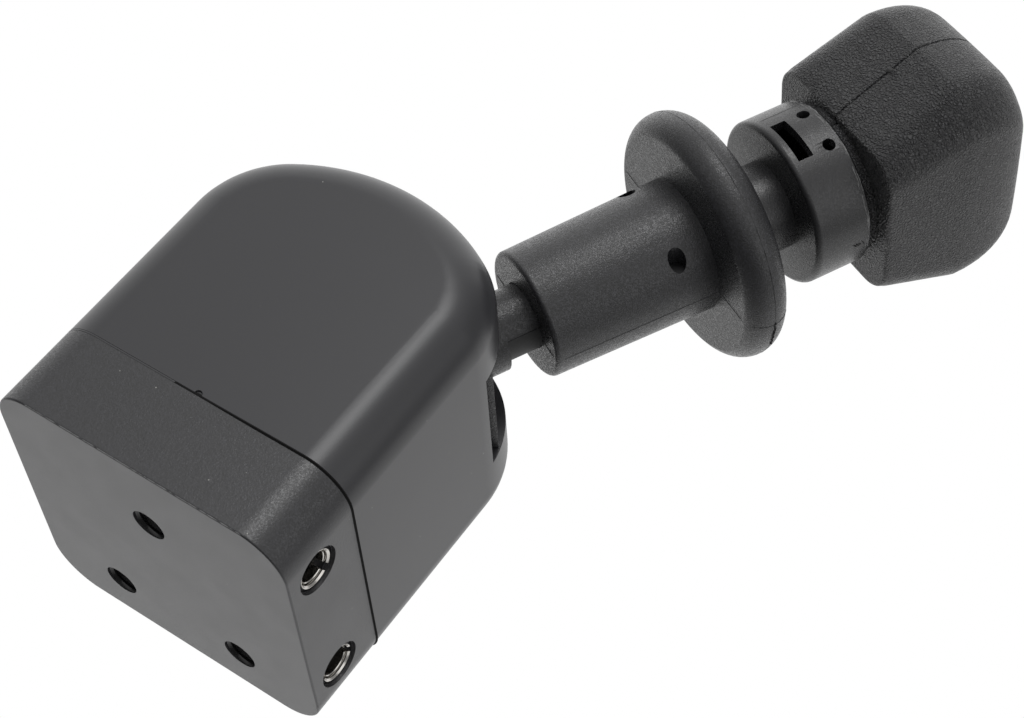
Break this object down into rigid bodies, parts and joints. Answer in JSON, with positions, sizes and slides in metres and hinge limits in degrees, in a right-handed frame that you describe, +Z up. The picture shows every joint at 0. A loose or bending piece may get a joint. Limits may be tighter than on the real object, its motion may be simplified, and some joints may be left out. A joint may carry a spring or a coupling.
{
  "type": "lever hand brake valve",
  "caption": "Lever hand brake control valve with a lift collar under the knob, rounded cover, side ports and threaded base.",
  "frame": {"origin": "centre of the flat mounting face under the port block", "axes": "+Z up from the mounting face, Y along the lever pivot, lever leaning toward +X, ports on the +X side"},
  "size_m": [0.1205, 0.063, 0.1833],
  "materials": {
    "block_plastic": "fine grained black moulding",
    "cover_plastic": "satin black moulding",
    "lever_plastic": "matt grained black moulding",
    "knob_skin": "black moulding with a leather grain",
    "black_metal": "black coated metal",
    "shield_plastic": "plain black moulding",
    "nickel_plate": "bright nickel plate",
    "zinc_steel": "zinc plated steel",
    "ground_steel": "ground steel",
    "spring_steel": "spring wire",
    "cast_aluminium": "machined aluminium",
    "valve_brass": "turned brass",
    "acetal": "natural acetal",
    "seal_rubber": "matt rubber",
    "gasket_rubber": "flat rubber"
  },
  "bodies": {
    "housing": {"port_block": "block_plastic", "housing_cover": "cover_plastic", "cover_gasket": "gasket_rubber", "port_collets": "nickel_plate", "port_seals": "seal_rubber", "valve_seat": "valve_brass", "valve_spring": "spring_steel", "bearing_bracket": "zinc_steel", "bracket_screws": "zinc_steel", "latch_gates": "ground_steel", "gate_rivets": "ground_steel", "pivot_pin": "ground_steel", "pin_clips": "spring_steel", "stop_bars": "zinc_steel", "stop_buffers": "seal_rubber"},
    "lever": {"lever_hub": "black_metal", "slot_shield": "shield_plastic", "hub_bushes": "acetal", "brake_cam": "acetal", "cam_pin": "ground_steel", "stem_grub_screw": "ground_steel", "lever_stem": "black_metal", "knob_base": "lever_plastic", "stem_nut": "zinc_steel", "knob_core": "lever_plastic", "knob_front_half": "knob_skin", "knob_rear_half": "knob_skin"},
    "collar": {"collar_sleeve": "lever_plastic", "collar_bush": "acetal", "collar_pins": "ground_steel", "link_pin": "ground_steel", "latch_rod": "ground_steel", "latch_pin": "ground_steel", "collar_spring": "spring_steel"},
    "follower": {"cam_follower": "zinc_steel"},
    "piston": {"control_piston": "cast_aluminium", "piston_ring": "seal_rubber", "graduating_spring": "spring_steel"},
    "valve": {"inlet_valve": "valve_brass", "valve_rubber": "seal_rubber"}
  },
  "joints": [
    {"name": "lever_swing", "type": "hinge", "parent": "housing", "child": "lever", "pos_m": [0, 0, 0.0369], "axis": [0, 1, 0], "range_deg": [-54.4, 0]},
    {"name": "collar_lift", "type": "slide", "parent": "lever", "child": "collar", "axis": [0.4571, 0, 0.8894], "range_m": [-0.0024, 0.007], "stiffness_N_per_m": 1500, "deforming": ["collar_spring"]},
    {"name": "follower_stroke", "type": "slide", "parent": "housing", "child": "follower", "axis": [0, 0, 1], "range_m": [-0.0043, 0], "deforming": ["graduating_spring"]},
    {"name": "piston_stroke", "type": "slide", "parent": "housing", "child": "piston", "axis": [0, 0, 1], "range_m": [-0.0005, 0], "stiffness_N_per_m": 1000},
    {"name": "valve_stroke", "type": "slide", "parent": "housing", "child": "valve", "axis": [0, 0, 1], "range_m": [-0.0007, 0], "stiffness_N_per_m": 400, "deforming": ["valve_spring"]}
  ],
  "couplings": [
    {"joint": "follower_stroke", "follows": "lever_swing", "m_per_rad": 0.0045}
  ]
}
